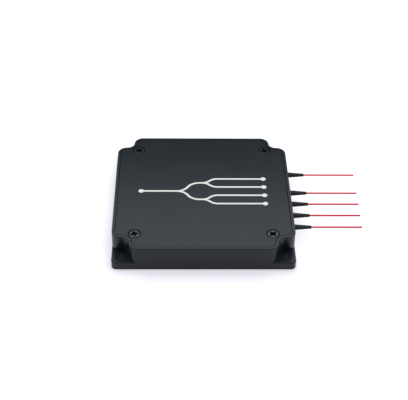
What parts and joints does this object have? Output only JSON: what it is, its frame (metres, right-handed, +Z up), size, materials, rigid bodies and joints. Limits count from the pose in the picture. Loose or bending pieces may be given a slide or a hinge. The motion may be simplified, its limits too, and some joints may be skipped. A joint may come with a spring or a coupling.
{
  "type": "plc fibre splitter",
  "caption": "Flat square metal box with notched corners, a foot in each notch, a screwed lid let into its rim, and fibre pigtails in rubber boots on one side.",
  "frame": {"origin": "centre of the box's underside", "axes": "+Z up through the lid, +X out of the wall that the pigtails leave, +Y towards the input's end of that wall"},
  "size_m": [0.1401, 0.1, 0.015],
  "materials": {
    "black_anodised": "matt black anodised",
    "black_steel": "black oxide",
    "boot_rubber": "matt moulded",
    "red_tube": "extruded",
    "coated_fibre": "clear coating",
    "stainless_tube": "drawn",
    "silica": "polished",
    "clear_silicone": "cured",
    "foam_pad": "foam tape",
    "comb_plastic": "moulded"
  },
  "bodies": {
    "root": {"anchor_adhesive": "clear_silicone", "anchor_comb": "comb_plastic", "boot_input": "boot_rubber", "boot_output_1": "boot_rubber", "boot_output_2": "boot_rubber", "boot_output_3": "boot_rubber", "boot_output_4": "boot_rubber", "chip_bond": "clear_silicone", "chip_cover": "silica", "fibre_clips": "comb_plastic", "fibre_input": "coated_fibre", "fibre_output_1": "coated_fibre", "fibre_output_2": "coated_fibre", "fibre_output_3": "coated_fibre", "fibre_output_4": "coated_fibre", "housing": "black_anodised", "input_array_base": "silica", "input_array_cover": "silica", "lid": "black_anodised", "lid_screws": "black_steel", "output_array_base": "silica", "output_array_cover": "silica", "package_pad": "foam_pad", "package_seal_input": "clear_silicone", "package_seal_output": "clear_silicone", "package_tube": "stainless_tube", "pigtail_input": "red_tube", "pigtail_output_1": "red_tube", "pigtail_output_2": "red_tube", "pigtail_output_3": "red_tube", "pigtail_output_4": "red_tube", "plc_chip": "silica"}
  },
  "joints": []
}
